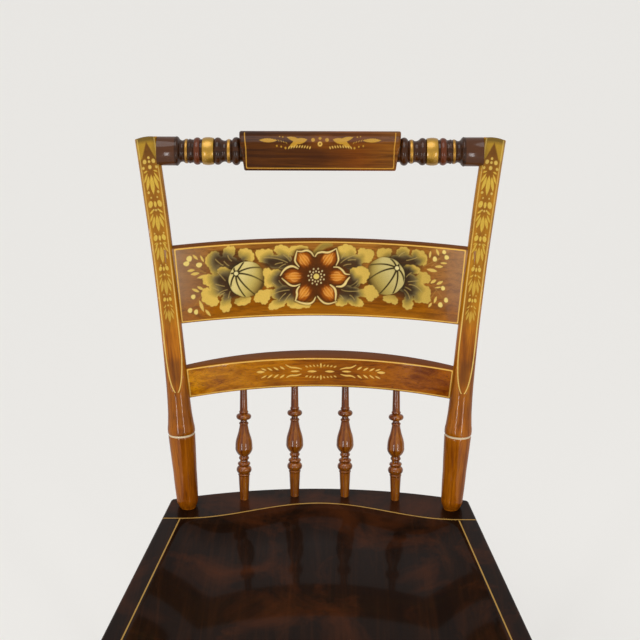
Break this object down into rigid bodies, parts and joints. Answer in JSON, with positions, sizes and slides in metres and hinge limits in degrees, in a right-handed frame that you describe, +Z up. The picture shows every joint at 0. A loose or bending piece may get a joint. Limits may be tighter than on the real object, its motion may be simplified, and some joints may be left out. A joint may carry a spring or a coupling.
{
  "type": "side chair",
  "caption": "Wooden side chair with a saddled plank seat, bent back posts, a turned crest rail with a squared middle, bowed slats over turned spindles, and splayed turned legs with stretchers.",
  "frame": {"origin": "on the floor, below the middle of the chair's bounding box", "axes": "+Z up, the chair faces -Y, +X to the right when it is seen from the front"},
  "size_m": [0.4294, 0.4313, 0.8461],
  "materials": {
    "amber_varnished_wood": "gloss varnish over amber stain, with bronze stencilling and gold striping",
    "red_brown_varnished_wood": "gloss varnish over red-brown stain",
    "dark_varnished_wood": "gloss varnish over dark stain, with gold rings and striping",
    "dark_painted_seat": "gloss dark brown paint with tan striping"
  },
  "bodies": {
    "root": {"seat": "dark_painted_seat", "left_back_post": "amber_varnished_wood", "right_back_post": "amber_varnished_wood", "crest_rail": "dark_varnished_wood", "wide_slat": "amber_varnished_wood", "lower_slat": "amber_varnished_wood", "spindle_1": "red_brown_varnished_wood", "spindle_2": "red_brown_varnished_wood", "spindle_3": "red_brown_varnished_wood", "spindle_4": "red_brown_varnished_wood", "front_left_leg": "red_brown_varnished_wood", "front_right_leg": "red_brown_varnished_wood", "rear_left_leg": "red_brown_varnished_wood", "rear_right_leg": "red_brown_varnished_wood", "upper_front_stretcher": "red_brown_varnished_wood", "lower_front_stretcher": "red_brown_varnished_wood", "upper_left_stretcher": "red_brown_varnished_wood", "lower_left_stretcher": "red_brown_varnished_wood", "upper_right_stretcher": "red_brown_varnished_wood", "lower_right_stretcher": "red_brown_varnished_wood", "rear_stretcher": "red_brown_varnished_wood"}
  },
  "joints": []
}
